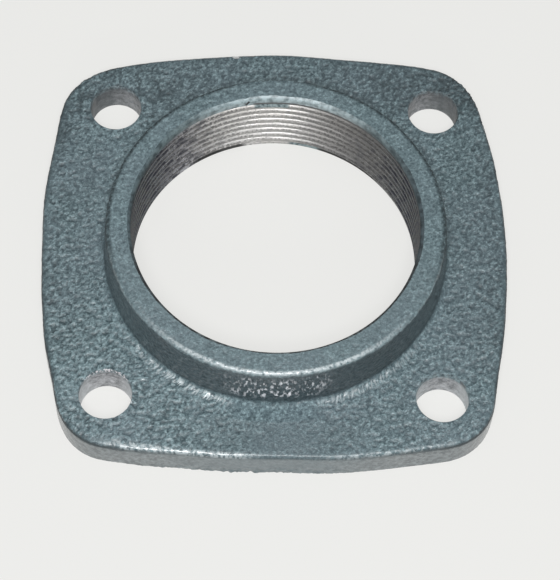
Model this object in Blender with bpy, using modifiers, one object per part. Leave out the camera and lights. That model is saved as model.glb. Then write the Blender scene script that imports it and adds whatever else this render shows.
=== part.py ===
"""Square pipe flange, cast in one piece: a plate with bowed sides and four bolt holes, and a round threaded boss.

The origin is the middle of the mounting face, which is the plate's underside. +Z runs up through the boss, and
the sides of the plate face along X and Y. All sizes are in metres.
"""

import math

import bmesh
import bpy

FLANGE_NAME = "flange_casting"
COLLECTION_NAME = "square_threaded_flange"
GUIDES_NAME = "square_threaded_flange_guides"

# Plate and bolt holes
HOLE_SPACING = 0.084  # between the centres of neighbouring holes, along X and along Y
HOLE_DIAMETER = 0.0135  # clears an M12 bolt
EDGE_DISTANCE = 0.0182  # from the line through two hole centres out to the middle of the side
SIDE_RADIUS = 0.218  # outward bow of each side
CORNER_RADIUS = 0.0165
PLATE_THICKNESS = 0.0092
PLATE_EDGE_ROUND = 0.0011  # along the plate's upper edge

# Pipe thread in the bore, eleven turns to the inch. Its crests are cut back from the standard 72.2 mm.
THREAD_MINOR_DIAMETER = 0.0732  # the bore, across the thread's crests
THREAD_MAJOR_DIAMETER = 0.075184  # across the thread's roots

# Boss
BOSS_WALL = 0.0053  # from the thread's roots to the outside, at the boss's top
BOSS_RISE = 0.0143  # above the plate
BOSS_DRAFT = math.radians(4.0)
BOSS_EDGE_ROUND = 0.0009
BOSS_ROOT_FILLET = 0.0016

# 45 degree chamfers at the two ends of the bore
MOUTH_CHAMFER = 0.0012
FOOT_CHAMFER = 0.0009

# How far a cutter runs past the face that it opens
CUTTER_OVERRUN = 0.002

# Facets
ROUND_STEPS = 120
HOLE_STEPS = 40
SIDE_STEPS = 14
CORNER_STEPS = 9
EDGE_STEPS = 4
SMOOTH_ANGLE = math.radians(32.0)
MERGE_DISTANCE = 0.00001

TOTAL_HEIGHT = PLATE_THICKNESS + BOSS_RISE
BORE_RADIUS = THREAD_MINOR_DIAMETER / 2
BOSS_TOP_RADIUS = THREAD_MAJOR_DIAMETER / 2 + BOSS_WALL

PAINT = {"name": "grey_green_paint", "colour": (0.105, 0.172, 0.190, 1.0), "roughness": 0.42, "metallic": 0.0}
MACHINED = {"name": "machined_cast_iron", "colour": (0.330, 0.315, 0.300, 1.0), "roughness": 0.36, "metallic": 1.0}


def clear_scene():
    for obj in list(bpy.data.objects):
        bpy.data.objects.remove(obj, do_unlink=True)


def make_collection(name):
    old = bpy.data.collections.get(name)
    if old:
        bpy.data.collections.remove(old)
    collection = bpy.data.collections.new(name)
    bpy.context.scene.collection.children.link(collection)
    return collection


def make_material(look):
    material = bpy.data.materials.new(look["name"])
    material.use_nodes = True
    shader = material.node_tree.nodes["Principled BSDF"]
    shader.inputs["Base Color"].default_value = look["colour"]
    shader.inputs["Roughness"].default_value = look["roughness"]
    shader.inputs["Metallic"].default_value = look["metallic"]
    return material


def arc(centre, radius, start, end, steps):
    """Points along an arc, both ends included, as (first, second) coordinates."""
    points = []
    for step in range(steps + 1):
        angle = start + (end - start) * step / steps
        points.append((centre[0] + radius * math.cos(angle), centre[1] + radius * math.sin(angle)))
    return points


def plate_outline():
    """The plate seen from above: four bowed sides, with a round corner tangent to both sides that it joins."""
    side_centre = HOLE_SPACING / 2 + EDGE_DISTANCE - SIDE_RADIUS
    centre_gap = SIDE_RADIUS - CORNER_RADIUS
    corner = (side_centre + math.sqrt(2 * centre_gap ** 2 - side_centre ** 2)) / 2
    side_end = math.atan2(corner, corner - side_centre)
    side = arc((side_centre, 0.0), SIDE_RADIUS, -side_end, side_end, SIDE_STEPS)
    turn = arc((corner, corner), CORNER_RADIUS, side_end, math.pi / 2 - side_end, CORNER_STEPS)
    quarter = side + turn[1:-1]
    outline = []
    for number in range(4):
        cos = math.cos(number * math.pi / 2)
        sin = math.sin(number * math.pi / 2)
        outline.extend((x * cos - y * sin, x * sin + y * cos) for x, y in quarter)
    return outline


def curve_to_mesh(curve_object):
    """Swaps a curve object for a mesh object of the same name and place, with its caps welded on."""
    name = curve_object.name
    graph = bpy.context.evaluated_depsgraph_get()
    mesh = bpy.data.meshes.new_from_object(curve_object.evaluated_get(graph))
    work = bmesh.new()
    work.from_mesh(mesh)
    bmesh.ops.remove_doubles(work, verts=work.verts, dist=MERGE_DISTANCE)
    work.to_mesh(mesh)
    work.free()
    obj = bpy.data.objects.new(name + "_mesh", mesh)
    obj.matrix_world = curve_object.matrix_world.copy()
    for collection in curve_object.users_collection:
        collection.objects.link(obj)
    bpy.data.objects.remove(curve_object, do_unlink=True)
    obj.name = name
    mesh.name = name
    return obj


def mark_upper_rim(obj, height):
    """Joins the upper cap into one face, and gives its rim the bevel weight that rounds it."""
    work = bmesh.new()
    work.from_mesh(obj.data)
    cap = [face for face in work.faces if face.normal.z > 0.99]
    bmesh.ops.dissolve_faces(work, faces=cap)
    weight = work.edges.layers.float.new("bevel_weight_edge")
    for edge in work.edges:
        if all(abs(vert.co.z - height) < MERGE_DISTANCE for vert in edge.verts):
            edge[weight] = 1.0
    work.to_mesh(obj.data)
    work.free()


def make_plate(collection):
    curve = bpy.data.curves.new(FLANGE_NAME, "CURVE")
    curve.dimensions = "2D"
    curve.fill_mode = "BOTH"
    curve.extrude = PLATE_THICKNESS / 2
    outline = plate_outline()
    spline = curve.splines.new("POLY")
    spline.points.add(len(outline) - 1)
    for point, (x, y) in zip(spline.points, outline):
        point.co = (x, y, 0.0, 1.0)
    spline.use_cyclic_u = True
    obj = bpy.data.objects.new(FLANGE_NAME, curve)
    obj.location.z = PLATE_THICKNESS / 2
    collection.objects.link(obj)
    bpy.context.view_layer.update()
    plate = curve_to_mesh(obj)
    mark_upper_rim(plate, PLATE_THICKNESS / 2)
    rounding = plate.modifiers.new("upper_edge", "BEVEL")
    rounding.limit_method = "WEIGHT"
    rounding.width = PLATE_EDGE_ROUND
    rounding.segments = EDGE_STEPS
    return plate


def turned(name, profile, collection):
    """A solid turned about Z from a profile of (radius, height) points, which runs down its outer side."""
    mesh = bpy.data.meshes.new(name)
    points = [(radius, 0.0, height) for radius, height in profile]
    mesh.from_pydata(points, [(number, number + 1) for number in range(len(points) - 1)], [])
    obj = bpy.data.objects.new(name, mesh)
    collection.objects.link(obj)
    screw = obj.modifiers.new("turn", "SCREW")
    screw.axis = "Z"
    screw.angle = 2 * math.pi
    screw.steps = ROUND_STEPS
    screw.render_steps = ROUND_STEPS
    screw.use_merge_vertices = True
    screw.merge_threshold = MERGE_DISTANCE
    return obj


def boss_profile():
    """Half section of the boss: flat top, rounded edge, drafted wall, and a fillet that runs out on the plate."""
    cos = math.cos(BOSS_DRAFT)
    sin = math.sin(BOSS_DRAFT)
    edge_radius = BOSS_TOP_RADIUS - BOSS_EDGE_ROUND * (1 - sin) / cos
    edge = (edge_radius, TOTAL_HEIGHT - BOSS_EDGE_ROUND)
    root_height = PLATE_THICKNESS + BOSS_ROOT_FILLET
    root = (BOSS_TOP_RADIUS + (BOSS_ROOT_FILLET + (TOTAL_HEIGHT - root_height) * sin) / cos, root_height)
    profile = [(0.0, TOTAL_HEIGHT)]
    profile += arc(edge, BOSS_EDGE_ROUND, math.pi / 2, BOSS_DRAFT, EDGE_STEPS)
    profile += arc(root, BOSS_ROOT_FILLET, math.pi + BOSS_DRAFT, 1.5 * math.pi, EDGE_STEPS)
    profile += [(root[0], PLATE_THICKNESS / 2), (0.0, PLATE_THICKNESS / 2)]
    return profile


def bore_profile():
    """Half section of what is bored out: the bore itself, opened by a chamfer at its mouth and at its foot."""
    top = TOTAL_HEIGHT + CUTTER_OVERRUN
    bottom = -CUTTER_OVERRUN
    return [
        (0.0, top),
        (BORE_RADIUS + MOUTH_CHAMFER + CUTTER_OVERRUN, top),
        (BORE_RADIUS, TOTAL_HEIGHT - MOUTH_CHAMFER),
        (BORE_RADIUS, FOOT_CHAMFER),
        (BORE_RADIUS + FOOT_CHAMFER + CUTTER_OVERRUN, bottom),
        (0.0, bottom),
    ]


def make_drill(name, x, y, collection):
    """A bolt hole's cutter, which runs past both faces of the plate."""
    bpy.ops.mesh.primitive_cylinder_add(
        vertices=HOLE_STEPS,
        radius=HOLE_DIAMETER / 2,
        depth=PLATE_THICKNESS + 2 * CUTTER_OVERRUN,
        location=(x, y, PLATE_THICKNESS / 2),
    )
    drill = bpy.context.object
    drill.name = name
    for other in list(drill.users_collection):
        other.objects.unlink(drill)
    collection.objects.link(drill)
    return drill


def combine(target, tool, operation):
    """Adds the tool's shape to the target or cuts it away, and keeps the tool as a hidden guide."""
    boolean = target.modifiers.new(tool.name, "BOOLEAN")
    boolean.operation = operation
    boolean.solver = "EXACT"
    boolean.material_mode = "TRANSFER"
    boolean.object = tool
    tool.hide_render = True
    tool.display_type = "WIRE"


def settle(obj):
    """Makes an object's modifiers part of its mesh, then shades its round faces smooth."""
    bpy.context.view_layer.update()
    graph = bpy.context.evaluated_depsgraph_get()
    mesh = bpy.data.meshes.new_from_object(obj.evaluated_get(graph))
    mesh.name = obj.name
    obj.modifiers.clear()
    obj.data = mesh
    mesh.shade_smooth()
    mesh.set_sharp_from_angle(angle=SMOOTH_ANGLE)


def make_flange(collection, guides):
    paint = make_material(PAINT)
    machined = make_material(MACHINED)

    flange = make_plate(collection)
    flange.data.materials.append(paint)

    boss = turned("boss_form", boss_profile(), guides)
    boss.data.materials.append(paint)
    combine(flange, boss, "UNION")

    bore = turned("bore_cutter", bore_profile(), guides)
    bore.data.materials.append(machined)
    combine(flange, bore, "DIFFERENCE")

    for number in range(4):
        angle = math.pi / 4 + number * math.pi / 2
        x = math.copysign(HOLE_SPACING / 2, math.cos(angle))
        y = math.copysign(HOLE_SPACING / 2, math.sin(angle))
        drill = make_drill(f"bolt_hole_cutter_{number + 1}", x, y, guides)
        drill.data.materials.append(machined)
        combine(flange, drill, "DIFFERENCE")

    settle(flange)
    return flange


def main():
    clear_scene()
    collection = make_collection(COLLECTION_NAME)
    guides = make_collection(GUIDES_NAME)
    make_flange(collection, guides)


main()
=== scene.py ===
"""Looks of the square threaded flange: the painted sand casting, its machined faces and its pipe thread.

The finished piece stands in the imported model's place. It is cast as a rough blank, which is then faced,
bored, threaded, chipped and drilled. Sizes are in metres, +Z runs up through the boss.
"""

import math

import bmesh
import bpy
from mathutils import Euler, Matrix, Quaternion, Vector


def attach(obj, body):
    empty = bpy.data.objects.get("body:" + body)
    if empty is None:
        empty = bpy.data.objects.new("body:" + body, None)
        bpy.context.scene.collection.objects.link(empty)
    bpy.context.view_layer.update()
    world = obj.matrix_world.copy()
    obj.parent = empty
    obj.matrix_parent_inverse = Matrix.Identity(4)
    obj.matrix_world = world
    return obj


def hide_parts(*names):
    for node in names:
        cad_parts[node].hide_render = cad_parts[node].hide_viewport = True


bl_info = {
    "name": "Square Threaded Flange",
    "version": (1, 0, 0),
    "blender": (4, 5, 0),
    "location": "View3D > Sidebar > Flange",
    "description": "Models a painted cast-iron pipe flange with a threaded bore, in a plain studio",
    "category": "Add Mesh",
}

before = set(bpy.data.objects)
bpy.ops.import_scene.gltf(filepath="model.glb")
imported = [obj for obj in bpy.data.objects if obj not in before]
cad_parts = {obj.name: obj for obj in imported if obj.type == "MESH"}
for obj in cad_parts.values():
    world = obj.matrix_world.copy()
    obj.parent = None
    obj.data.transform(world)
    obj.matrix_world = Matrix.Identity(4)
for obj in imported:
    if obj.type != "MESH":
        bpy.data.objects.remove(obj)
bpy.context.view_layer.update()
CAD_NODE = "flange_casting"

PIECE_NAME = "cast_flange"
PITCHES_PER_INCH = 11
INCH = 0.0254
MILLIMETRES = 1000.0
TINY = 0.000001
Z_AXIS = (0.0, 0.0, 1.0)
Y_AXIS = (0.0, 1.0, 0.0)
ORIGIN = (0.0, 0.0, 0.0)

# Facets: steps of the curves, and the width of the skin's facets
SIDE_STEPS = 12
CORNER_STEPS = 14
EDGE_STEPS = 5
BOSS_STEPS = 200
BORE_STEPS = 180
THREAD_STEPS = 120
HOLE_STEPS = 72
CHIP_SEGMENTS = 18
CHIP_RINGS = 10
SKIN_FACET = 0.000465

# How far a cutter runs past the face that it opens
OVERRUN = 0.001

# Where the outline of the real casting strays from its drawing: angle in degrees, distance outwards
STRAY_REACH = 0.019
CASTING_STRAYS = (
    (0, 0.0003),
    (36, -0.0011),
    (54, 0.0006),
    (90, 0.0003),
    (135, -0.0005),
    (144, 0.0010),
    (162, 0.0007),
    (216, -0.0012),
    (225, 0.0006),
    (234, 0.0005),
    (252, -0.0004),
    (270, -0.0006),
    (315, 0.0006),
    (324, -0.0005),
)

# How far the boss sits off the bore's axis, as the halves of the mould met
BOSS_SHIFT = (0.00020, -0.00035, 0.0)

# Places that the paint is laid out by: the centre of the front side's bow, and where the boss's ring begins
FRONT_BOW_CENTRE = (0.0, 0.15822)
RING_LEVEL = (0.0205, 0.0211)

# Relief of the casting's skin: name, grain, height. Sand stands higher where its vertex group weighs more.
SWELL = ("swell", 0.012, 0.00030)
SAND = (
    ("lump", 0.0014, 0.00036),
    ("grain", 0.00076, 0.00088),
)
SAND_GROUP = "coarse"

# How coarse the sand is on each part of the skin, as a share of the coarsest on the plate. The plate's left
# front corner, the lower front edge and the clots on the wall have more, a margin at the mouth has less.
PLATE_COARSE = 0.75
PLATE_COARSE_CORNER = 0.25
SIDE_COARSE = 0.14
SIDE_COARSE_EDGE = 0.86
WALL_COARSE = 0.42
WALL_COARSE_CLOTS = 0.68
RING_COARSE = 0.30
MOUTH_COARSE = 0.15
MOUTH_WIDTH = 0.0018

# The attribute that holds how far the sand has lifted each place of the skin, in millimetres
RELIEF = "relief"

# The thread's form: slope of its flanks, half its depth and half its root's width as shares of the pitch, and
# how far its root is rounded
FLANK = math.radians(27.5)
HALF_DEPTH = 0.320164
ROOT_HALF_WIDTH = 0.05
ROOT_ROUND = 0.00012

# Where the thread starts under the bore's mouth, how far down the mouth is painted, and how far it is rounded
THREAD_START = math.radians(250)
THREAD_START_HEIGHT = 0.02089
PAINTED_DOWN_TO = 0.0206
MOUTH_SWEEP = math.radians(65)

# A nick in the painted mouth
NICK_ANGLE = math.radians(101.5)
NICK_HEIGHT = 0.0217
NICK_SIZE = (0.0009, 0.0006, 0.0017)
NICK_LEAN = math.radians(32)

# Chips broken out of the plate's back edge: place and half size
CHIPS = (
    ((-0.0104, 0.0586, 0.0092), (0.0011, 0.0007, 0.0005)),
    ((-0.0061, 0.0592, 0.0090), (0.0011, 0.0006, 0.0008)),
)

# The iron of the thread and the thin paint of the mouth, across the bore from left to right: place and colour
# Both rows are brightest in the middle as a painted highlight, and darker to the sides as painted shade
IRON_ACROSS = (
    (-0.0368, (0.12, 0.16, 0.17)),
    (-0.0300, (0.32, 0.35, 0.39)),
    (-0.0237, (0.83, 0.85, 0.90)),
    (-0.0180, (1.00, 1.00, 1.00)),
    (-0.0100, (1.00, 1.00, 1.00)),
    (0.0000, (0.90, 0.90, 0.90)),
    (0.0120, (0.56, 0.56, 0.56)),
    (0.0280, (0.38, 0.39, 0.39)),
    (0.0368, (0.14, 0.17, 0.19)),
)
MOUTH_ACROSS = (
    (-0.0375, (0.06, 0.085, 0.095)),
    (-0.0250, (0.11, 0.15, 0.16)),
    (-0.0120, (0.27, 0.34, 0.36)),
    (0.0110, (0.34, 0.41, 0.43)),
    (0.0250, (0.13, 0.17, 0.18)),
    (0.0375, (0.045, 0.063, 0.072)),
)

# Colours of the paint: plate and ring, painted glints on grains, clots and edges, and the wall in painted
# shade
WEATHERED_PAINT = (0.135, 0.172, 0.205)
GLINT_ON_GRAINS = (0.40, 0.54, 0.57)
RING_PAINT = (0.150, 0.205, 0.222)
SHADED_WALL_PAINT = ((0.014, 0.024, 0.030), (0.048, 0.069, 0.080))
CLOT_GLINT = (0.70, 0.72, 0.76)
EDGE_HIGHLIGHT_PAINT = (0.58, 0.65, 0.67)
# A painted shadow behind the boss, painted shade below the plate's edge, and the sides' dusty paint
PAINTED_SHADOW_BEHIND = (0.024, 0.038, 0.043)
PAINTED_SHADE_BELOW_EDGE = (0.024, 0.034, 0.039)
SIDE_HOLLOW = (0.060, 0.078, 0.085)
SIDE_MIDDLE = (0.084, 0.130, 0.148)
# Painted shade at the ends of the plate's sides and on the back holes' walls
SHADE_GREY = (0.070, 0.085, 0.090)
BLACK = (0.0, 0.0, 0.0)

# Colours of the machined faces: tints, oil, paint run in, painted shade and glints, and what lies on them
IRON_TINTS = ((1.0, 0.995, 1.0), (0.96, 0.94, 0.91))
OIL = (0.055, 0.058, 0.078)
FOOT_DARK = (0.035, 0.038, 0.038)
PAINT_IN_THREAD = ((0.075, 0.110, 0.118), (0.30, 0.37, 0.385))
MOUTH_WEAR = ((0.52, 0.55, 0.56), (1.40, 1.40, 1.40))
MOUTH_SHADE = (0.026, 0.028, 0.029)
HOLE_IRON = ((0.20, 0.21, 0.22), (0.64, 0.65, 0.68))
HOLE_SIDE_HIGHLIGHT = (0.74, 0.78, 0.80)
HOLE_DARKER = (0.090, 0.120, 0.130)
RIM_GLINT = (0.95, 0.90, 0.92)
FRESH_BREAK = ((0.30, 0.31, 0.31), (0.60, 0.61, 0.61))
DARK_BREAK = (0.020, 0.022, 0.023)
RUST = (0.16, 0.105, 0.075)

# Slots: the mounting face on the casting, and the painted mouth on the borer
FACED = 1
MOUTH = 1


def length(name, description, metres):
    """A size that the panel shows."""
    return bpy.props.FloatProperty(
        name=name, description=description, default=metres, unit="LENGTH", precision=5)


def finish_colour(name, description, value):
    """A colour that the panel shows."""
    return bpy.props.FloatVectorProperty(
        name=name, description=description, default=value, size=3, min=0.0, max=1.0, subtype="COLOR")


class SquareFlangeSizes(bpy.types.PropertyGroup):
    """Sizes of the casting as they were measured."""

    reach_x: length(
        "Reach along X", "From the bore's axis to the middle of a side that faces along X", 0.05964)
    reach_y: length(
        "Reach along Y", "From the bore's axis to the middle of a side that faces along Y", 0.05938)
    side_radius: length("Side radius", "Outward bow of each side", 0.2176)
    corner_radius: length("Corner radius", "Rounding of each corner", 0.0165)
    plate_thickness: length(
        "Plate thickness", "From the mounting face to the plate's upper face", 0.00915)
    plate_edge: length("Plate edge round", "Rounding along the plate's upper edge", 0.0011)
    height: length("Height", "From the mounting face to the boss's ring", 0.0232)
    boss_radius: length("Boss radius", "Outside of the boss at its top", 0.0429)
    boss_draft: bpy.props.FloatProperty(
        name="Boss draft", description="Slope of the boss's wall", default=math.radians(4.0), subtype="ANGLE")
    boss_edge: length("Boss edge round", "Rounding along the boss's top", 0.0011)
    boss_fillet: length("Boss fillet", "Hollow between the boss and the plate", 0.0016)
    crest_diameter: length("Thread crests", "Bore across the crests of the thread", 0.0732)
    root_diameter: length("Thread roots", "Bore across the roots of the thread", 0.075184)
    mouth_round: length("Mouth round", "Rounding of the bore's mouth at the boss's ring", 0.00105)
    foot_chamfer: length("Foot chamfer", "Chamfer of the bore at the mounting face", 0.0009)
    hole_spacing: length("Hole spacing", "Between the centres of neighbouring bolt holes", 0.0840)
    hole_diameter: length("Hole diameter", "Bolt holes, which clear an M12 bolt", 0.0133)
    hole_rim: length("Hole rim", "Flare at the top of each bolt hole", 0.0001)
    facing_stock: length(
        "Facing stock", "What is cast on below the mounting face and turned away", 0.0012)


class SquareFlangeColours(bpy.types.PropertyGroup):
    """Colours of the casting's finishes, and of the studio."""

    paint: finish_colour("Paint", "Grey-green paint over the sand-cast skin", (0.213, 0.305, 0.332))
    # Darker paint: between the grains, partly as painted shade, and as painted shade on the plate's right
    dark_paint_and_shade: finish_colour(
        "Paint in hollows", "Paint where it has pooled between the grains", (0.033, 0.062, 0.073))
    edge: finish_colour("Plate edge", "Thin dusty paint on the sides of the plate", (0.195, 0.226, 0.234))
    cut_iron: finish_colour("Cut iron", "Bare iron of the mounting face", (0.580, 0.585, 0.590))
    # This colour is also painted shade on the thread's crests and roots and on a bare strip in the mouth
    stained_and_shaded_iron: finish_colour(
        "Stained iron", "Iron darkened by oil and graphite in the thread's roots", (0.060, 0.058, 0.058))
    worn_iron: finish_colour("Worn iron", "Duller iron of the mounting face", (0.400, 0.410, 0.420))
    floor: finish_colour("Floor", "Pale floor of the studio", (0.830, 0.830, 0.812))


def deselect():
    """Leaves edit mode and selects nothing."""
    active = bpy.context.view_layer.objects.active
    if active and active.mode != "OBJECT":
        bpy.ops.object.mode_set(mode="OBJECT")
    bpy.ops.object.select_all(action="DESELECT")


def pick(obj):
    """Selects one object alone and makes it the active one."""
    deselect()
    obj.select_set(True)
    bpy.context.view_layer.objects.active = obj


def edit(obj):
    """Opens an object in edit mode with all of its mesh selected."""
    pick(obj)
    bpy.ops.object.mode_set(mode="EDIT")
    bpy.ops.mesh.select_all(action="SELECT")


def choose(obj, kind, test):
    """Selects the vertices, edges or faces of the mesh in edit mode that pass a test."""
    bpy.ops.mesh.select_mode(type={"verts": "VERT", "edges": "EDGE", "faces": "FACE"}[kind])
    bpy.ops.mesh.select_all(action="DESELECT")
    mesh = bmesh.from_edit_mesh(obj.data)
    for element in getattr(mesh, kind):
        if test(element):
            element.select_set(True)
    mesh.select_flush_mode()
    bmesh.update_edit_mesh(obj.data)


def close_shell(obj):
    """Merges the seam and the poles of the mesh in edit mode, and turns its faces outwards."""
    bpy.ops.mesh.select_all(action="SELECT")
    bpy.ops.mesh.remove_doubles(threshold=TINY)
    bpy.ops.mesh.normals_make_consistent(inside=False)
    if bmesh.from_edit_mesh(obj.data).calc_volume(signed=True) < 0.0:
        bpy.ops.mesh.flip_normals()


def finish_faces(obj, slot, test):
    """Gives the faces that pass a test the material of one slot, and leaves edit mode."""
    choose(obj, "faces", test)
    obj.active_material_index = slot
    bpy.ops.object.material_slot_assign()
    deselect()


def apply_modifier(obj, modifier):
    """Makes a modifier part of the object's mesh."""
    pick(obj)
    bpy.ops.object.modifier_apply(modifier=modifier.name)


def start_profile(name, point):
    """A new mesh of a single selected vertex, left in edit mode to be drawn out."""
    deselect()
    bpy.ops.mesh.primitive_plane_add()
    obj = bpy.context.object
    obj.name = name
    obj.data.name = name
    bpy.ops.object.mode_set(mode="EDIT")
    bpy.ops.mesh.select_mode(type="VERT")
    bpy.ops.mesh.select_all(action="SELECT")
    bpy.ops.mesh.merge(type="CENTER")
    bpy.ops.transform.translate(value=point)
    return obj


def pen(obj):
    """Where the selected end of a profile is."""
    mesh = bmesh.from_edit_mesh(obj.data)
    return next(vert.co.copy() for vert in mesh.verts if vert.select)


def line_to(obj, point):
    """Draws the profile on in a straight line."""
    step = Vector(point) - pen(obj)
    bpy.ops.mesh.extrude_region_move(TRANSFORM_OT_translate={"value": step})


def arc(steps, angle, centre, axis=Z_AXIS):
    """Draws the selection on along an arc. Spin turns against its axis, so the angle is reversed."""
    bpy.ops.mesh.spin(steps=steps, angle=-angle, center=centre, axis=axis)


def turn(angle, axis):
    """Turns the selection about an axis through the origin. Rotate turns against it, as spin does."""
    bpy.ops.transform.rotate(value=-angle, orient_axis=axis, center_override=ORIGIN)


def turn_section(obj, steps):
    """Turns a finished half section once round the Z axis and closes the body."""
    bpy.ops.mesh.select_all(action="SELECT")
    arc(steps, 2 * math.pi, ORIGIN)
    close_shell(obj)


def polar(radius, angle):
    """The place at a distance and an angle from the Z axis."""
    return Vector((radius * math.cos(angle), radius * math.sin(angle), 0.0))


def draw_outline(sizes):
    """The plate's outline from above: four bowed sides, and corners tangent to them."""
    reach = (sizes.reach_x + sizes.reach_y) / 2
    side_centre = reach - sizes.side_radius
    centre_gap = sizes.side_radius - sizes.corner_radius
    corner = (side_centre + math.sqrt(2 * centre_gap ** 2 - side_centre ** 2)) / 2
    half_side = math.atan2(corner, corner - side_centre)
    outline = start_profile(PIECE_NAME, (reach, 0.0, 0.0))
    for number in range(4):
        facing = number * math.pi / 2
        arc(SIDE_STEPS, half_side, polar(side_centre, facing))
        arc(CORNER_STEPS, math.pi / 2 - 2 * half_side, polar(corner * math.sqrt(2), facing + math.pi / 4))
        arc(SIDE_STEPS, half_side, polar(side_centre, facing + math.pi / 2))
    bpy.ops.mesh.select_all(action="SELECT")
    bpy.ops.mesh.remove_doubles(threshold=TINY)
    stretch = (sizes.reach_x / reach, sizes.reach_y / reach, 1.0)
    bpy.ops.transform.resize(value=stretch, center_override=ORIGIN)
    return outline


def stray(outline, angle, distance):
    """Pulls the outline out or in around one place."""
    towards = polar(1.0, angle)
    mesh = bmesh.from_edit_mesh(outline.data)
    nearest = max(mesh.verts, key=lambda vert: vert.co.normalized().dot(towards))
    place = nearest.co.copy()
    choose(outline, "verts", lambda vert: (vert.co - place).length < TINY)
    bpy.ops.transform.translate(
        value=towards * distance,
        use_proportional_edit=True,
        proportional_edit_falloff="SMOOTH",
        proportional_size=STRAY_REACH,
    )


def make_plate(sizes):
    """The plate of the blank, with stock below the mounting face and a rounded upper edge."""
    plate = draw_outline(sizes)
    for degrees, distance in CASTING_STRAYS:
        stray(plate, math.radians(degrees), distance)
    bpy.ops.mesh.select_all(action="SELECT")
    bpy.ops.mesh.edge_face_add()
    bpy.ops.transform.translate(value=(0.0, 0.0, -sizes.facing_stock))
    rise = (0.0, 0.0, sizes.plate_thickness + sizes.facing_stock)
    bpy.ops.mesh.extrude_region_move(TRANSFORM_OT_translate={"value": rise})
    bpy.ops.mesh.bevel(offset=sizes.plate_edge, segments=EDGE_STEPS, affect="EDGES")
    close_shell(plate)
    deselect()
    return plate


def make_boss(sizes):
    """The boss of the blank, turned from its half section: top, rounded edge, drafted wall and fillet."""
    cos = math.cos(sizes.boss_draft)
    sin = math.sin(sizes.boss_draft)
    sweep = math.pi / 2 - sizes.boss_draft
    edge_radius = sizes.boss_radius - sizes.boss_edge * (1 - sin) / cos
    root_height = sizes.plate_thickness + sizes.boss_fillet
    root_radius = sizes.boss_radius + (sizes.boss_fillet + (sizes.height - root_height) * sin) / cos
    wall_foot = (root_radius - sizes.boss_fillet * cos, 0.0, root_height - sizes.boss_fillet * sin)
    buried = sizes.plate_thickness / 2

    boss = start_profile("boss", (0.0, 0.0, sizes.height))
    line_to(boss, (edge_radius, 0.0, sizes.height))
    arc(EDGE_STEPS, sweep, (edge_radius, 0.0, sizes.height - sizes.boss_edge), Y_AXIS)
    line_to(boss, wall_foot)
    arc(EDGE_STEPS, -sweep, (root_radius, 0.0, root_height), Y_AXIS)
    line_to(boss, (root_radius, 0.0, buried))
    line_to(boss, (0.0, 0.0, buried))
    turn_section(boss, BOSS_STEPS)
    bpy.ops.transform.translate(value=BOSS_SHIFT)
    deselect()
    return boss


def combine(target, tool, operation, solver="MANIFOLD"):
    """Adds the tool's shape to the target or cuts it away, with the tool's material, and removes the tool."""
    boolean = target.modifiers.new(tool.name, "BOOLEAN")
    boolean.operation = operation
    boolean.solver = solver
    boolean.material_mode = "TRANSFER"
    boolean.object = tool
    apply_modifier(target, boolean)
    bpy.data.objects.remove(tool)


def sand_texture(blank, name, grain, height, group=""):
    """Lifts and sinks the skin by a cloud pattern, as sand leaves it."""
    pattern = bpy.data.textures.new(name, type="CLOUDS")
    pattern.noise_scale = grain
    pattern.noise_depth = 1
    relief = blank.modifiers.new(name, "DISPLACE")
    relief.texture = pattern
    relief.texture_coords = "LOCAL"
    relief.mid_level = 0.5
    relief.strength = height
    relief.vertex_group = group
    apply_modifier(blank, relief)
    bpy.data.textures.remove(pattern)


def near(value, middle, reach):
    """1 at the middle of a span, which falls softly to 0 at its ends."""
    share = max(0.0, 1.0 - abs(value - middle) / reach)
    return share * share * (3.0 - 2.0 * share)


def inside_edge(place, sizes):
    """How far a place lies inside the nearest bowed side of the plate."""
    centre_x = sizes.side_radius - sizes.reach_x
    centre_y = sizes.side_radius - sizes.reach_y
    across = math.hypot(abs(place.x) + centre_x, place.y)
    along = math.hypot(place.x, abs(place.y) + centre_y)
    return sizes.side_radius - max(across, along)


def coarseness(place, sizes):
    """How coarse the sand has left one place of the skin."""
    radius = math.hypot(place.x - BOSS_SHIFT[0], place.y - BOSS_SHIFT[1])
    angle = math.degrees(math.atan2(place.y, place.x))
    fillet_top = sizes.plate_thickness + sizes.boss_fillet / 2
    if radius < sizes.boss_radius - sizes.boss_edge and place.z > sizes.plate_thickness:
        return RING_COARSE if radius > sizes.crest_diameter / 2 + MOUTH_WIDTH else MOUTH_COARSE
    if radius < sizes.boss_radius + sizes.boss_fillet and place.z > fillet_top:
        clotted = near(angle, -92, 28) if place.z < sizes.height - 1.5 * sizes.boss_edge else 0.0
        return WALL_COARSE + WALL_COARSE_CLOTS * clotted
    if place.z < sizes.plate_thickness - sizes.plate_edge:
        ragged = near(place.x, -0.008, 0.040) * near(place.z, 0.0, 0.004) if place.y < 0.0 else 0.0
        return SIDE_COARSE + SIDE_COARSE_EDGE * ragged
    smooth = near(place.x, 0.003, 0.034) * near(place.y, -0.054, 0.012)
    rim = near(inside_edge(place, sizes), 0.0, 0.0030)
    plate = PLATE_COARSE + PLATE_COARSE_CORNER * near(angle, -140, 60) - 0.60 * smooth
    return plate * (1.0 - 0.80 * rim)


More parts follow.
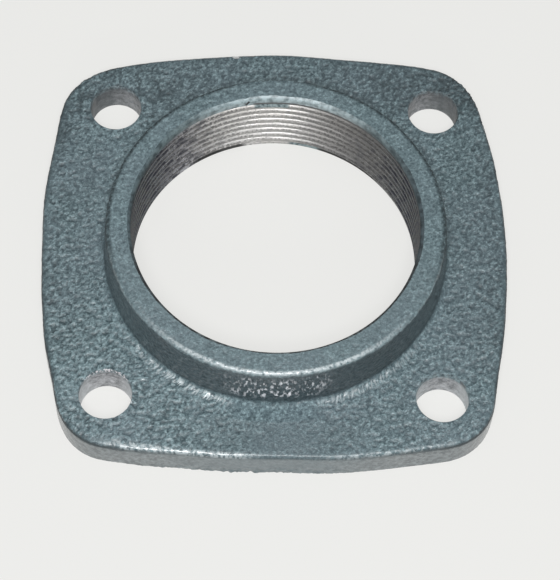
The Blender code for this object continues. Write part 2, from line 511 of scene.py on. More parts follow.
def cast_blank(sizes):
    """The rough casting as it leaves the sand: one skin over plate and boss, with the sand's texture."""
    blank = make_plate(sizes)
    combine(blank, make_boss(sizes), "UNION", "EXACT")
    skin = blank.modifiers.new("skin", "REMESH")
    skin.mode = "VOXEL"
    skin.voxel_size = SKIN_FACET
    skin.use_smooth_shade = True
    apply_modifier(blank, skin)
    sand_texture(blank, *SWELL)
    coarse = blank.vertex_groups.new(name=SAND_GROUP)
    for vert in blank.data.vertices:
        coarse.add([vert.index], coarseness(vert.co, sizes), "REPLACE")
    before = [(vert.co.copy(), vert.normal.copy()) for vert in blank.data.vertices]
    for name, grain, height in SAND:
        sand_texture(blank, name, grain, height, SAND_GROUP)
    moved = zip(blank.data.vertices, before)
    rise = [MILLIMETRES * (vert.co - place).dot(normal) for vert, (place, normal) in moved]
    blank.data.attributes.new(RELIEF, "FLOAT", "POINT").data.foreach_set("value", rise)
    return blank


def give_slot(obj, material):
    """Gives an object one material for all of its faces."""
    obj.data.materials.clear()
    obj.data.materials.append(material)


def face_off(blank, material):
    """Turns the underside flat, which makes it the mounting face."""
    blank.data.materials.append(material)
    edit(blank)
    bpy.ops.mesh.bisect(
        plane_co=ORIGIN, plane_no=Z_AXIS, use_fill=True, clear_inner=True, threshold=TINY)
    finish_faces(blank, FACED, lambda face: all(abs(vert.co.z) < TINY for vert in face.verts))


def make_borer(sizes, iron, painted):
    """The cutter of the bore, turned from its half section: chamfered foot, plain wall, rounded mouth."""
    wall = sizes.crest_diameter / 2
    mouth = Vector((wall + sizes.mouth_round, 0.0, sizes.height - sizes.mouth_round))
    flare = Vector((math.sin(MOUTH_SWEEP), 0.0, math.cos(MOUTH_SWEEP))) * OVERRUN
    borer = start_profile("borer", (0.0, 0.0, -OVERRUN))
    line_to(borer, (wall + sizes.foot_chamfer + OVERRUN, 0.0, -OVERRUN))
    line_to(borer, (wall, 0.0, sizes.foot_chamfer))
    line_to(borer, (wall, 0.0, PAINTED_DOWN_TO))
    line_to(borer, (wall, 0.0, mouth.z))
    arc(EDGE_STEPS, MOUTH_SWEEP, mouth, Y_AXIS)
    line_to(borer, pen(borer) + flare)
    line_to(borer, (0.0, 0.0, pen(borer).z))
    turn_section(borer, BORE_STEPS)
    give_slot(borer, iron)
    borer.data.materials.append(painted)
    finish_faces(borer, MOUTH, lambda face: face.calc_center_median().z > PAINTED_DOWN_TO)
    return borer


def make_tap(sizes, material):
    """The cutter of the pipe thread: a 55 degree groove that runs down the bore from under its mouth."""
    pitch = INCH / PITCHES_PER_INCH
    wall = sizes.crest_diameter / 2
    root = sizes.root_diameter / 2
    inside = wall - OVERRUN / 2
    turns = (THREAD_START_HEIGHT + 2 * OVERRUN) / pitch + 0.5
    slope = math.tan(FLANK)

    def at(radius, height):
        return polar(radius, THREAD_START) + Vector((0.0, 0.0, THREAD_START_HEIGHT + height))

    def half(radius):
        return pitch / 4 + (root - HALF_DEPTH * pitch - radius) * slope

    near_root = root - ROOT_ROUND
    tap = start_profile("tap", at(inside, half(inside)))
    line_to(tap, at(near_root, half(near_root)))
    line_to(tap, at(root, ROOT_HALF_WIDTH * pitch))
    line_to(tap, at(root, -ROOT_HALF_WIDTH * pitch))
    line_to(tap, at(near_root, -half(near_root)))
    line_to(tap, at(inside, -half(inside)))
    line_to(tap, at(inside, half(inside)))
    bpy.ops.mesh.select_all(action="SELECT")
    bpy.ops.mesh.remove_doubles(threshold=TINY)
    deselect()
    screw = tap.modifiers.new("turns", "SCREW")
    screw.axis = "Z"
    screw.angle = -2 * math.pi * turns
    screw.screw_offset = -pitch * turns
    screw.steps = round(THREAD_STEPS * turns)
    screw.render_steps = screw.steps
    apply_modifier(tap, screw)
    edit(tap)
    bpy.ops.mesh.fill_holes(sides=0)
    close_shell(tap)
    deselect()
    give_slot(tap, material)
    return tap


def make_nick(sizes, material):
    """The cutter of the nick, a small leaning block sunk into the bore's wall."""
    bpy.ops.mesh.primitive_cube_add(size=1.0)
    nick = bpy.context.object
    nick.name = "nick"
    edit(nick)
    bpy.ops.transform.resize(value=NICK_SIZE, center_override=ORIGIN)
    turn(NICK_LEAN, "X")
    bpy.ops.transform.translate(value=(sizes.crest_diameter / 2, 0.0, NICK_HEIGHT))
    turn(NICK_ANGLE, "Z")
    deselect()
    give_slot(nick, material)
    return nick


def make_drill(x, y, sizes, material):
    """The cutter of one bolt hole, turned from its half section: straight wall and flared rim."""
    wall = sizes.hole_diameter / 2
    top = sizes.plate_thickness + OVERRUN
    drill = start_profile("drill", (0.0, 0.0, -OVERRUN))
    line_to(drill, (wall, 0.0, -OVERRUN))
    line_to(drill, (wall, 0.0, sizes.plate_thickness - sizes.hole_rim))
    line_to(drill, (wall + sizes.hole_rim + OVERRUN, 0.0, top))
    line_to(drill, (0.0, 0.0, top))
    turn_section(drill, HOLE_STEPS)
    bpy.ops.transform.translate(value=(x, y, 0.0))
    deselect()
    give_slot(drill, material)
    return drill


def make_chip(place, half_size, material):
    """The cutter of one chip in the plate's edge, a flattened ball."""
    bpy.ops.mesh.primitive_uv_sphere_add(segments=CHIP_SEGMENTS, ring_count=CHIP_RINGS, radius=1.0)
    chip = bpy.context.object
    chip.name = "chip"
    edit(chip)
    bpy.ops.transform.resize(value=half_size, center_override=ORIGIN)
    bpy.ops.transform.translate(value=place)
    deselect()
    give_slot(chip, material)
    return chip


def crease_borders(obj):
    """Shades the piece smooth, with a crease wherever one finish meets another."""
    pick(obj)
    bpy.ops.object.shade_smooth()
    edit(obj)
    choose(obj, "edges", lambda edge: len({face.material_index for face in edge.link_faces}) > 1)
    bpy.ops.mesh.mark_sharp()
    deselect()


# In the materials east, north, height, radius and their limits are metres in the object's own frame. The
# fineness of a noise is in grains per metre. Masks and shares go from 0 to 1.
def new_material(name):
    """A node material with only its surface shader, and the object's coordinates."""
    material = bpy.data.materials.new(name)
    material.use_nodes = True
    tree = material.node_tree
    shader = tree.nodes["Principled BSDF"]
    place = tree.nodes.new("ShaderNodeTexCoord").outputs["Object"]
    return material, tree, shader, place


def add_node(tree, kind, inputs, **settings):
    """A new node with its settings, its inputs fed by sockets or held at plain values."""
    made = tree.nodes.new("ShaderNode" + kind)
    for name, value in settings.items():
        setattr(made, name, value)
    for key, value in inputs.items():
        if isinstance(value, bpy.types.NodeSocket):
            tree.links.new(value, made.inputs[key])
        else:
            made.inputs[key].default_value = value
    return made


def feed(tree, shader, name, value):
    """Leads a value into one of the shader's inputs."""
    tree.links.new(value, shader.inputs[name])


def axes(tree, place):
    """The three coordinates of a place."""
    return tuple(add_node(tree, "SeparateXYZ", {"Vector": place}).outputs)


def stretched(tree, place, *scale):
    """The place, scaled along each axis, so that a pattern is drawn out."""
    return add_node(tree, "VectorMath", {0: place, 1: scale}, operation="MULTIPLY").outputs["Vector"]


def noise(tree, place, per_metre, detail, roughness=0.5):
    """A noise value of a given fineness."""
    inputs = {"Vector": place, "Scale": per_metre, "Detail": detail, "Roughness": roughness}
    return add_node(tree, "TexNoise", inputs).outputs["Fac"]


def ramp(tree, value, low, high):
    """Stretches a value so that low becomes 0 and high becomes 1."""
    inputs = {"Value": value, "From Min": low, "From Max": high}
    return add_node(tree, "MapRange", inputs).outputs["Result"]


def scaled(tree, value, low, high):
    """Turns a value from 0 to 1 into one from low to high."""
    inputs = {"Value": value, "To Min": low, "To Max": high}
    return add_node(tree, "MapRange", inputs).outputs["Result"]


def part(tree, mask, share):
    """A mask at a share of its strength."""
    return scaled(tree, mask, 0.0, share)


def inverse(tree, mask):
    """Where a mask doesn't hold."""
    return scaled(tree, mask, 1.0, 0.0)


def blend(tree, factor, first, second, kind="MIX"):
    """Mixes two colours, each a socket or a fixed colour."""
    made = add_node(tree, "Mix", {"Factor": factor}, data_type="RGBA", blend_type=kind)
    for name, value in (("A", first), ("B", second)):
        target = next(item for item in made.inputs if item.name == name and item.type == "RGBA")
        if isinstance(value, bpy.types.NodeSocket):
            tree.links.new(value, target)
        else:
            target.default_value = (*value, 1.0)
    return next(item for item in made.outputs if item.type == "RGBA")


def over(tree, base, colour, mask, share):
    """Lays a colour over another where a mask holds, up to a share of it."""
    return blend(tree, part(tree, mask, share), base, colour)


def maths(tree, operation, *values):
    """One step of arithmetic on sockets or numbers."""
    return add_node(tree, "Math", dict(enumerate(values)), operation=operation).outputs["Value"]


def joined(tree, operation, values):
    """One value made of several by the same step of arithmetic."""
    made = values[0]
    for value in values[1:]:
        made = maths(tree, operation, made, value)
    return made


def both(tree, *masks):
    """Where all of some masks hold."""
    return joined(tree, "MULTIPLY", masks)


def either(tree, *masks):
    """Where any of some masks holds."""
    return joined(tree, "MAXIMUM", masks)


def total(tree, *values):
    """The sum of some values."""
    return joined(tree, "ADD", values)


def unsigned(tree, value):
    """A value without its sign."""
    return maths(tree, "ABSOLUTE", value)


def bump(tree, shader, height, distance, strength, below=None):
    """Gives the surface a fine relief of a height in metres, on top of one that it may have."""
    inputs = {"Strength": strength, "Distance": distance, "Height": height}
    if below:
        inputs["Normal"] = below
    made = add_node(tree, "Bump", inputs).outputs["Normal"]
    feed(tree, shader, "Normal", made)
    return made


def span(tree, value, low, high, soft):
    """1 where a value lies between two limits, with soft ends."""
    rise = ramp(tree, value, low - soft, low + soft)
    fall = ramp(tree, value, high + soft, high - soft)
    return both(tree, rise, fall)


def from_axis(tree, east, north, axis=ORIGIN):
    """The distance from an upright axis."""
    across = maths(tree, "SUBTRACT", east, axis[0])
    along = maths(tree, "SUBTRACT", north, axis[1])
    squares = total(tree, both(tree, across, across), both(tree, along, along))
    return maths(tree, "SQRT", squares)


def across_bore(tree, east, stops):
    """A colour read off a row of stops, each a place along X and the colour there."""
    first = stops[0][0]
    last = stops[-1][0]
    made = add_node(tree, "ValToRGB", {"Fac": ramp(tree, east, first, last)})
    elements = made.color_ramp.elements
    elements[0].color = (*stops[0][1], 1.0)
    elements[1].color = (*stops[-1][1], 1.0)
    for place, colour in stops[1:-1]:
        elements.new((place - first) / (last - first)).color = (*colour, 1.0)
    return made.outputs["Color"]


def paint_body(tree, colours, east, north, height, front, grain, fine, patches):
    """The paint's colour by its grain, evened on the ring, with painted shade in the relief's hollows, on the
    right, at both sides and in the front's middle, and painted glints on the grains.
    """
    aside = unsigned(tree, east)
    relief = add_node(tree, "Attribute", {}, attribute_name=RELIEF).outputs["Fac"]
    # The relief's hollows are darker and its tops paler, partly as painted shade and painted highlight
    raised = part(tree, ramp(tree, relief, -0.045, 0.045), 0.42)
    mottled = part(tree, ramp(tree, grain, 0.43, 0.57), 0.33)
    speckled = part(tree, ramp(tree, fine, 0.43, 0.57), 0.25)
    share = total(tree, raised, mottled, speckled)
    body = blend(tree, share, colours.dark_paint_and_shade, colours.paint)
    body = over(tree, body, WEATHERED_PAINT, ramp(tree, patches, 0.35, 0.65), 0.25)
    # Painted shade: the plate grows darker towards its right
    body = over(tree, body, colours.dark_paint_and_shade, ramp(tree, east, -0.005, 0.045), 0.15)
    # Painted glints on the grains that stand highest
    body = over(tree, body, GLINT_ON_GRAINS, ramp(tree, share, 0.75, 1.0), 0.35)
    even = both(tree, ramp(tree, height, *RING_LEVEL), scaled(tree, front, 0.08, 0.27))
    body = blend(tree, even, body, RING_PAINT)
    # Painted shade at both sides of the plate and in the front's middle
    flanks = both(tree, ramp(tree, aside, 0.042, 0.047), ramp(tree, north, -0.034, -0.026))
    lee = both(tree, ramp(tree, north, -0.046, -0.051), ramp(tree, aside, 0.026, 0.014))
    return blend(tree, total(tree, part(tree, flanks, 0.10), part(tree, lee, 0.13)), body, BLACK)


def edge_highlights(tree, aside, east, north, height, radius, front, clots, upright, bow):
    """Painted highlights: along the front edges of ring and plate, and streaks on the foot of the boss."""
    ring_edge_highlight = both(
        tree, span(tree, radius, 0.0418, 0.0427, 0.0002), ramp(tree, height, 0.0222, 0.0226), front,
        ramp(tree, aside, 0.034, 0.020), ramp(tree, clots, 0.34, 0.54))
    left = both(tree, span(tree, east, -0.040, -0.006, 0.004), ramp(tree, bow, 0.2158, 0.2163))
    right = both(tree, span(tree, east, 0.014, 0.042, 0.004), ramp(tree, bow, 0.2166, 0.2170))
    pale_patches = both(tree, upright, total(tree, left, part(tree, right, 0.8)), ramp(tree, clots, 0.43, 0.56))
    bearing = both(tree, maths(tree, "ARCTAN2", north, east), 0.045)
    slanted = total(tree, bearing, both(tree, radius, 0.35))
    along = add_node(tree, "CombineXYZ", {"X": slanted, "Y": both(tree, radius, 0.22)})
    streaks = noise(tree, along.outputs["Vector"], 1700.0, 1.0)
    foot_streak_highlight = both(
        tree, span(tree, radius, 0.0443, 0.0460, 0.0003), ramp(tree, height, 0.0110, 0.0104), front,
        ramp(tree, aside, 0.009, 0.016), ramp(tree, aside, 0.040, 0.026), ramp(tree, streaks, 0.50, 0.57),
        scaled(tree, ramp(tree, east, -0.01, 0.01), 1.0, 0.6))
    return either(tree, ring_edge_highlight, pale_patches, foot_streak_highlight)


def dusty_side(tree, colours, place, aside, front):
    """The thin dusty paint on the plate's sides, darker and more teal in the middle, with painted shade at
    the ends.
    """
    dust = ramp(tree, noise(tree, place, 800.0, 3.0, 0.65), 0.38, 0.62)
    dust = blend(tree, dust, SIDE_HOLLOW, colours.edge)
    middle = both(tree, ramp(tree, aside, 0.030, 0.010), front)
    dust = over(tree, dust, SIDE_MIDDLE, middle, 0.6)
    # Painted shade towards the ends of each side
    return over(tree, dust, SHADE_GREY, ramp(tree, aside, 0.036, 0.052), 0.4)


def paint_material(colours):
    """Grey-green paint over sand-cast iron, dusty on the plate's sides, with painted glints and highlights,
    painted shade, and a painted shadow behind the boss.
    """
    material, tree, shader, place = new_material("painted_cast_skin")
    east, north, height = axes(tree, place)
    aside = unsigned(tree, east)
    radius = from_axis(tree, east, north, BOSS_SHIFT)
    bow = from_axis(tree, east, north, FRONT_BOW_CENTRE)
    front = ramp(tree, north, -0.005, -0.015)
    grain = noise(tree, place, 1300.0, 2.0, 0.6)
    fine = noise(tree, place, 2400.0, 2.0, 0.6)
    patches = noise(tree, place, 60.0, 2.0)
    drift = noise(tree, place, 260.0, 1.0)
    clots = noise(tree, stretched(tree, place, 1150.0, 1150.0, 480.0), 1.0, 2.0)
    body = paint_body(tree, colours, east, north, height, front, grain, fine, patches)

    # Painted shade: the boss's wall is darker, darkest towards the right
    wall = both(tree, span(tree, radius, 0.0424, 0.0452, 0.0003), span(tree, height, 0.0102, 0.0222, 0.0004))
    drawn = blend(tree, ramp(tree, grain, 0.41, 0.59), *SHADED_WALL_PAINT)
    drawn = over(tree, drawn, BLACK, ramp(tree, east, 0.008, 0.024), 0.45)
    body = over(tree, body, drawn, wall, 0.88)
    # Painted glints on the clots at the middle of the wall's front
    clotted = both(
        tree, wall, span(tree, east, -0.0115, 0.0125, 0.002), span(tree, height, 0.0125, 0.0205, 0.0010),
        front, ramp(tree, clots, 0.52, 0.64), scaled(tree, ramp(tree, drift, 0.40, 0.58), 0.35, 1.0))
    body = blend(tree, clotted, body, CLOT_GLINT)
    upright = span(tree, height, 0.0080, 0.0094, 0.0001)
    # Painted highlights along the front edges and on the foot of the boss
    pale = edge_highlights(tree, aside, east, north, height, radius, front, clots, upright, bow)
    body = over(tree, body, EDGE_HIGHLIGHT_PAINT, pale, 0.72)
    # A painted shadow along the boss's back edge
    rear_edge = both(
        tree, span(tree, radius, 0.0419, 0.0442, 0.0003), ramp(tree, height, *RING_LEVEL),
        ramp(tree, north, -0.018, -0.006))
    behind = both(
        tree, rear_edge, ramp(tree, aside, 0.004, 0.014),
        scaled(tree, ramp(tree, clots, 0.40, 0.56), 0.45, 0.92))
    body = blend(tree, behind, body, PAINTED_SHADOW_BEHIND)

    ragged = scaled(tree, noise(tree, place, 500.0, 3.0), -0.0004, 0.0004)
    lowered = part(tree, ramp(tree, north, 0.030, 0.045), -0.0004)
    level = total(tree, height, ragged, lowered)
    # Painted shade in a band just below the plate's upper edge, stronger towards the ends
    shaded = scaled(tree, ramp(tree, aside, 0.012, 0.045), 0.4, 0.9)
    midway = both(tree, ramp(tree, aside, 0.050, 0.056), ramp(tree, unsigned(tree, north), 0.046, 0.036))
    upper = total(tree, level, part(tree, midway, -0.00020))
    under = both(tree, span(tree, upper, 0.0074, 0.0087, 0.0003), ramp(tree, radius, 0.046, 0.048), shaded)
    body = blend(tree, under, body, PAINTED_SHADE_BELOW_EDGE)
    side = ramp(tree, level, 0.0080, 0.0074)
    surface = over(tree, body, dusty_side(tree, colours, place, aside, front), side, 0.9)
    feed(tree, shader, "Base Color", surface)

    hollow = both(tree, span(tree, radius, 0.0440, 0.0490, 0.0003), ramp(tree, aside, 0.016, 0.009), front)
    border = both(
        tree, ramp(tree, bow, 0.2154, 0.2159), upright, ramp(tree, east, -0.014, -0.004),
        scaled(tree, ramp(tree, east, 0.045, 0.020), 0.3, 1.0))
    matt = either(
        tree, rear_edge, part(tree, under, 0.9), part(tree, hollow, 0.95), part(tree, border, 0.7))
    feed(tree, shader, "Coat Weight", inverse(tree, matt))
    shader.inputs["Coat Roughness"].default_value = 0.24
    gloss = either(tree, scaled(tree, grain, 0.30, 0.50), part(tree, side, 0.55), part(tree, matt, 0.85))
    feed(tree, shader, "Roughness", gloss)
    coarse = bump(tree, shader, grain, 0.00034, 0.85)
    bump(tree, shader, fine, 0.00012, 0.6, coarse)
    return material


def thread_material(colours):
    """Cut iron of the thread: flanks with turned marks, a painted highlight in the bore's middle, painted
    shade on the crests, roots and sides, and paint run in at its ends.
    """
    material, tree, shader, place = new_material("cut_thread_iron")
    east, north, height = axes(tree, place)
    aside = unsigned(tree, east)
    radius = from_axis(tree, east, north)
    turned = noise(tree, stretched(tree, place, 160.0, 160.0, 3600.0), 1.0, 2.0)
    specks = noise(tree, place, 1500.0, 3.0, 0.6)
    hue = noise(tree, place, 45.0, 2.0)
    tint = blend(tree, ramp(tree, hue, 0.35, 0.65), *IRON_TINTS)
    # Painted highlight in the bore's middle and painted shade towards its sides, from the row across the bore
    iron = blend(tree, 1.0, across_bore(tree, east, IRON_ACROSS), tint, "MULTIPLY")
    iron = over(tree, iron, colours.stained_and_shaded_iron, ramp(tree, specks, 0.54, 0.74), 0.5)

    # Painted shade on the crests and roots, stronger to the sides and on the left
    ragged = total(tree, radius, scaled(tree, specks, -0.00085, 0.00085))
    crest = ramp(tree, ragged, 0.03680, 0.03670)
    root = ramp(tree, ragged, 0.03744, 0.03760)
    left = part(tree, ramp(tree, east, -0.006, -0.016), 0.86)
    depth = either(tree, scaled(tree, ramp(tree, aside, 0.002, 0.018), 0.52, 0.82), left)
    crest_and_root_shade = both(tree, either(tree, crest, root), depth)
    iron = blend(tree, crest_and_root_shade, iron, colours.stained_and_shaded_iron)
    spill = either(tree, ramp(tree, aside, 0.018, 0.030), ramp(tree, east, -0.010, -0.024))
    blots = both(tree, ramp(tree, noise(tree, place, 380.0, 3.0, 0.65), 0.50, 0.57), spill)
    iron = over(tree, iron, OIL, blots, 0.75)

    far = ramp(tree, north, 0.0, 0.005)
    rim = total(tree, height, scaled(tree, specks, -0.0014, 0.0014))
    # Darker along the foot of the far wall, on the left and the right
    left_rim = both(tree, span(tree, east, -0.0210, -0.0080, 0.0010), ramp(tree, rim, 0.0026, 0.0018))
    right_rim = both(tree, span(tree, east, 0.0050, 0.0270, 0.0015), ramp(tree, rim, 0.0018, 0.0012))
    iron = over(tree, iron, FOOT_DARK, both(tree, either(tree, left_rim, right_rim), far), 0.9)
    first = both(tree, span(tree, east, -0.0055, 0.0035, 0.0004), ramp(tree, height, 0.0187, 0.0190))
    last = both(tree, span(tree, east, 0.0040, 0.0120, 0.0006), ramp(tree, height, 0.0024, 0.0019))
    painted = both(tree, either(tree, first, last), far, ramp(tree, specks, 0.20, 0.30))
    film = blend(tree, ramp(tree, specks, 0.38, 0.60), *PAINT_IN_THREAD)
    feed(tree, shader, "Base Color", blend(tree, painted, iron, film))
    bare = both(tree, inverse(tree, painted), scaled(tree, crest_and_root_shade, 1.0, 0.45))
    feed(tree, shader, "Metallic", bare)
    finish = either(tree, scaled(tree, specks, 0.36, 0.54), part(tree, painted, 0.7))
    feed(tree, shader, "Roughness", finish)
    bump(tree, shader, turned, 0.00010, 0.8)
    return material


def mouth_material(colours):
    """The bore's mouth: smooth iron under thin paint, with a painted highlight in the middle, painted shade
    to the sides and on the front lip, and a bare strip above the thread on the right.
    """
    material, tree, shader, place = new_material("painted_mouth")
    east, north, height = axes(tree, place)
    patches = noise(tree, place, 520.0, 3.0, 0.6)
    fine = noise(tree, stretched(tree, place, 300.0, 300.0, 1500.0), 1.0, 2.0)
    pale_patches = blend(tree, ramp(tree, patches, 0.38, 0.60), *MOUTH_WEAR)
    surface = blend(tree, 1.0, across_bore(tree, east, MOUTH_ACROSS), pale_patches, "MULTIPLY")
    bare = both(tree, ramp(tree, height, 0.0214, 0.0211), ramp(tree, east, -0.0062, -0.0054))
    surface = over(tree, surface, colours.stained_and_shaded_iron, bare, 0.9)
    # Painted shade in patches on the front lip
    lip_shade_patches = scaled(tree, ramp(tree, patches, 0.66, 0.40), 0.55, 0.95)
    lip = both(tree, ramp(tree, north, -0.004, -0.014), lip_shade_patches)
    surface = blend(tree, lip, surface, MOUTH_SHADE)
    feed(tree, shader, "Base Color", surface)
    dry = part(tree, either(tree, lip, ramp(tree, unsigned(tree, east), 0.016, 0.028)), 0.95)
    feed(tree, shader, "Roughness", either(tree, scaled(tree, patches, 0.30, 0.55), dry))
    rough = bump(tree, shader, patches, 0.00015, 0.6)
    bump(tree, shader, fine, 0.00008, 0.6, rough)
    return material


def hole_material(sizes, colours):
    """Drilled wall of the bolt holes: speckled iron, painted at the rims, with painted shade on the back
    holes and painted highlights on the front ones.
    """
    material, tree, shader, place = new_material("drilled_iron")
    east, north, height = axes(tree, place)
    aside = unsigned(tree, east)
    patches = noise(tree, place, 700.0, 4.0, 0.7)
    turned = noise(tree, stretched(tree, place, 260.0, 260.0, 2600.0), 1.0, 2.0)
    front = ramp(tree, north, 0.01, -0.01)
    right = ramp(tree, east, -0.01, 0.01)
    left = inverse(tree, right)
    iron = blend(tree, ramp(tree, patches, 0.36, 0.64), *HOLE_IRON)
    iron = over(tree, iron, colours.stained_and_shaded_iron, ramp(tree, turned, 0.50, 0.75), 0.35)
    # Painted shade on the walls of the back holes
    back = both(tree, inverse(tree, front), scaled(tree, ramp(tree, aside, 0.038, 0.045), 0.42, 0.80))
    surface = blend(tree, back, iron, SHADE_GREY)
    # Painted highlights on both sides of the front holes' walls
    offset = unsigned(tree, maths(tree, "SUBTRACT", aside, sizes.hole_spacing / 2))
    flank = both(tree, front, ramp(tree, offset, 0.0030, 0.0060))
    surface = over(tree, surface, HOLE_SIDE_HIGHLIGHT, flank, 0.6)
    # The front right hole is a little darker
    front_right = both(tree, front, right)
    surface = over(tree, surface, HOLE_DARKER, front_right, 0.20)
    ragged = total(tree, height, scaled(tree, patches, -0.0012, 0.0012), part(tree, front_right, 0.0007))
    run = both(tree, ramp(tree, ragged, 0.0074, 0.0084), scaled(tree, front, 0.6, 1.0))
    painted = blend(tree, ramp(tree, patches, 0.42, 0.58), colours.dark_paint_and_shade, colours.paint)
    surface = over(tree, surface, painted, run, 0.85)
    # The front left hole is a little darker
    surface = over(tree, surface, BLACK, both(tree, front, left), 0.10)
    # Painted glints along the top of the front left hole's wall
    rim_glints = both(
        tree, left, span(tree, north, -0.0385, -0.0300, 0.0008), ramp(tree, height, 0.0078, 0.0084),
        ramp(tree, noise(tree, place, 2000.0, 2.0), 0.48, 0.56))
    surface = over(tree, surface, RIM_GLINT, rim_glints, 0.7)
    feed(tree, shader, "Base Color", surface)
    feed(tree, shader, "Metallic", scaled(tree, run, 0.35, 0.0))
    feed(tree, shader, "Roughness", scaled(tree, patches, 0.35, 0.60))
    coarse = bump(tree, shader, patches, 0.00020, 0.7)
    bump(tree, shader, turned, 0.00006, 0.5, coarse)
    return material


def chip_material():
    """Broken iron of the chips and the nick: pale where it is fresh, dark right of the first chip, where the
    nick's dark is painted shade.
    """
    material, tree, shader, place = new_material("broken_iron")
    east = axes(tree, place)[0]
    crystals = noise(tree, place, 1500.0, 3.0, 0.7)
    fresh = blend(tree, ramp(tree, crystals, 0.35, 0.65), *FRESH_BREAK)
    # Dark in the second chip, and painted shade in the nick
    surface = over(tree, fresh, DARK_BREAK, ramp(tree, east, -0.0085, -0.0080), 0.92)
    feed(tree, shader, "Base Color", surface)
    feed(tree, shader, "Roughness", scaled(tree, crystals, 0.40, 0.60))
    bump(tree, shader, crystals, 0.00012, 0.7)
    return material


def faced_material(colours):
    """Mounting face: iron turned flat, with fine rings round the bore, stains and specks of rust."""
    material, tree, shader, place = new_material("faced_iron")
    east, north, _ = axes(tree, place)
    rings = {"W": from_axis(tree, east, north), "Scale": 4200.0, "Detail": 1.0}
    marks = add_node(tree, "TexNoise", rings, noise_dimensions="1D").outputs["Fac"]
    stains = noise(tree, place, 55.0, 4.0, 0.6)
    specks = noise(tree, place, 900.0, 3.0, 0.6)
    iron = blend(tree, ramp(tree, stains, 0.35, 0.65), colours.worn_iron, colours.cut_iron)
    iron = over(tree, iron, colours.stained_and_shaded_iron, ramp(tree, marks, 0.50, 0.75), 0.4)
    iron = over(tree, iron, RUST, ramp(tree, specks, 0.60, 0.72), 0.6)
    feed(tree, shader, "Base Color", iron)
    shader.inputs["Metallic"].default_value = 0.9
    feed(tree, shader, "Roughness", scaled(tree, stains, 0.26, 0.50))
    bump(tree, shader, marks, 0.00004, 0.7)
    return material


def machine(casting, sizes, colours):
    """Faces the casting off, bores it, cuts the thread and drills the bolt holes."""
    give_slot(casting, paint_material(colours))
    face_off(casting, faced_material(colours))
    iron = thread_material(colours)
    combine(casting, make_borer(sizes, iron, mouth_material(colours)), "DIFFERENCE")
    combine(casting, make_tap(sizes, iron), "DIFFERENCE")
    broken = chip_material()
    combine(casting, make_nick(sizes, broken), "DIFFERENCE")
    for place, half_size in CHIPS:
        combine(casting, make_chip(place, half_size, broken), "DIFFERENCE")
    drilled = hole_material(sizes, colours)
    for x in (-sizes.hole_spacing / 2, sizes.hole_spacing / 2):
        for y in (-sizes.hole_spacing / 2, sizes.hole_spacing / 2):
            combine(casting, make_drill(x, y, sizes, drilled), "DIFFERENCE")


class SQUAREFLANGE_OT_casting(bpy.types.Operator):
    """Casts the flange, machines it and lays its finishes on"""

    bl_idname = "squareflange.casting"
    bl_label = "Cast and Machine the Flange"

    def execute(self, context):
        sizes = context.scene.square_flange_sizes
        colours = context.scene.square_flange_colours
        casting = cast_blank(sizes)
        machine(casting, sizes, colours)
        crease_borders(casting)
        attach(casting, "root")
        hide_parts(CAD_NODE)
        return {"FINISHED"}


# Camera of the photograph: where it aims on the mounting face's plane, and from where
CAMERA_AIM = Vector((0.001634, -0.007233, 0.0))
CAMERA_AZIMUTH = math.radians(-2.53)
CAMERA_ELEVATION = math.radians(61.90)
CAMERA_ROLL = math.radians(2.89)
CAMERA_DISTANCE = 0.63188
CAMERA_LENS = 151.54

# The floor, which glows by itself for these rays, and the light from all round
FLOOR_SIZE = 6.0
FLOOR_GLOW = 0.8
GLOWS_FOR = ("Is Camera Ray", "Is Glossy Ray", "Is Transmission Ray")
WORLD_LIGHT = 0.22

# The soft lamps: name, place, size and power
LAMPS = (
    ("overhead", (0.0, 0.0, 1.0), 0.6, 1.2),
    ("key", (-0.02, -0.468, 0.827), 0.25, 7.0),
    ("front", (-0.04, -0.95, 0.50), 0.10, 0.6),
)


def make_camera():
    """A camera that sees the flange as the photograph does."""
    towards = Vector((
        math.sin(CAMERA_AZIMUTH) * math.cos(CAMERA_ELEVATION),
        -math.cos(CAMERA_AZIMUTH) * math.cos(CAMERA_ELEVATION),
        math.sin(CAMERA_ELEVATION),
    ))
    data = bpy.data.cameras.new("camera")
    data.lens = CAMERA_LENS
    camera = bpy.data.objects.new("camera", data)
    bpy.context.scene.collection.objects.link(camera)
    camera.location = CAMERA_AIM + CAMERA_DISTANCE * towards
    tilt = Euler((math.pi / 2 - CAMERA_ELEVATION, 0.0, CAMERA_AZIMUTH)).to_quaternion()
    camera.rotation_euler = (tilt @ Quaternion((0.0, 0.0, 1.0), CAMERA_ROLL)).to_euler()
    bpy.context.scene.camera = camera


def make_lamp(name, place, size, power):
    """A soft square lamp that shines at the flange."""
    data = bpy.data.lights.new(name, "AREA")
    data.size = size
    data.energy = power
    lamp = bpy.data.objects.new(name, data)
    bpy.context.scene.collection.objects.link(lamp)
    lamp.location = place
    lamp.rotation_euler = Vector(place).to_track_quat("Z", "Y").to_euler()


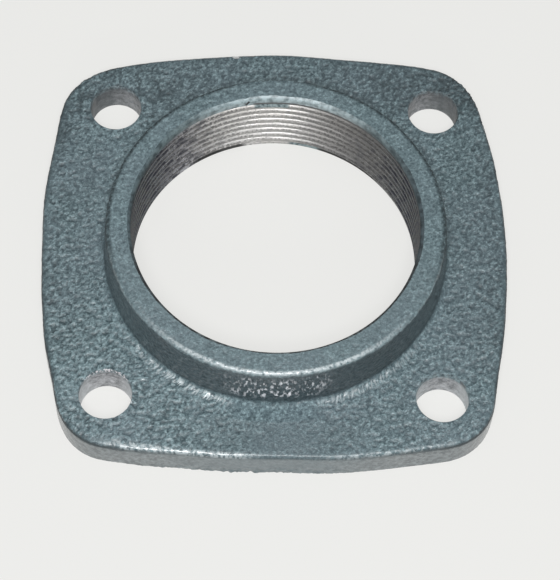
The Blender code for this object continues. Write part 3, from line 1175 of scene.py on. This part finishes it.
def make_floor(colour):
    """A pale floor that keeps the flange's shadow, and that gloss sees as plain pale."""
    deselect()
    bpy.ops.mesh.primitive_plane_add(size=FLOOR_SIZE)
    floor = bpy.context.object
    floor.name = "studio_floor"
    material = bpy.data.materials.new("studio_floor")
    material.use_nodes = True
    tree = material.node_tree
    shader = tree.nodes["Principled BSDF"]
    shader.inputs["Base Color"].default_value = (*colour, 1.0)
    shader.inputs["Roughness"].default_value = 1.0
    shader.inputs["Specular IOR Level"].default_value = 0.0
    glow = add_node(tree, "Emission", {"Color": (*colour, 1.0)})
    rays = add_node(tree, "LightPath", {}).outputs
    share = both(tree, either(tree, *(rays[kind] for kind in GLOWS_FOR)), FLOOR_GLOW)
    mix = add_node(tree, "MixShader", {"Fac": share, 1: shader.outputs["BSDF"], 2: glow.outputs["Emission"]})
    tree.links.new(mix.outputs["Shader"], tree.nodes["Material Output"].inputs["Surface"])
    give_slot(floor, material)


def make_world():
    """Even white light from all round."""
    world = bpy.data.worlds.new("studio")
    world.use_nodes = True
    background = world.node_tree.nodes["Background"]
    background.inputs["Color"].default_value = (1.0, 1.0, 1.0, 1.0)
    background.inputs["Strength"].default_value = WORLD_LIGHT
    bpy.context.scene.world = world


class SQUAREFLANGE_OT_stage(bpy.types.Operator):
    """Sets up a pale floor, soft light and the camera"""

    bl_idname = "squareflange.stage"
    bl_label = "Set Up the Studio"

    def execute(self, context):
        colours = context.scene.square_flange_colours
        make_world()
        make_floor(colours.floor)
        for name, place, size, power in LAMPS:
            make_lamp(name, place, size, power)
        make_camera()
        context.scene.view_settings.view_transform = "Standard"
        return {"FINISHED"}


class SQUAREFLANGE_PT_panel(bpy.types.Panel):
    """Sizes, colours and steps of the flange"""

    bl_idname = "SQUAREFLANGE_PT_panel"
    bl_label = "Square Threaded Flange"
    bl_space_type = "VIEW_3D"
    bl_region_type = "UI"
    bl_category = "Flange"

    def draw(self, context):
        layout = self.layout
        for group in (context.scene.square_flange_sizes, context.scene.square_flange_colours):
            box = layout.box()
            for name in group.__annotations__:
                box.prop(group, name)
        layout.operator(SQUAREFLANGE_OT_casting.bl_idname)
        layout.operator(SQUAREFLANGE_OT_stage.bl_idname)


CLASSES = (
    SquareFlangeSizes,
    SquareFlangeColours,
    SQUAREFLANGE_OT_casting,
    SQUAREFLANGE_OT_stage,
    SQUAREFLANGE_PT_panel,
)


def register():
    for item in CLASSES:
        bpy.utils.register_class(item)
    bpy.types.Scene.square_flange_sizes = bpy.props.PointerProperty(type=SquareFlangeSizes)
    bpy.types.Scene.square_flange_colours = bpy.props.PointerProperty(type=SquareFlangeColours)


def unregister():
    del bpy.types.Scene.square_flange_colours
    del bpy.types.Scene.square_flange_sizes
    for item in reversed(CLASSES):
        bpy.utils.unregister_class(item)


def main():
    register()
    bpy.ops.squareflange.casting()
    bpy.ops.squareflange.stage()


if __name__ == "__main__":
    main()
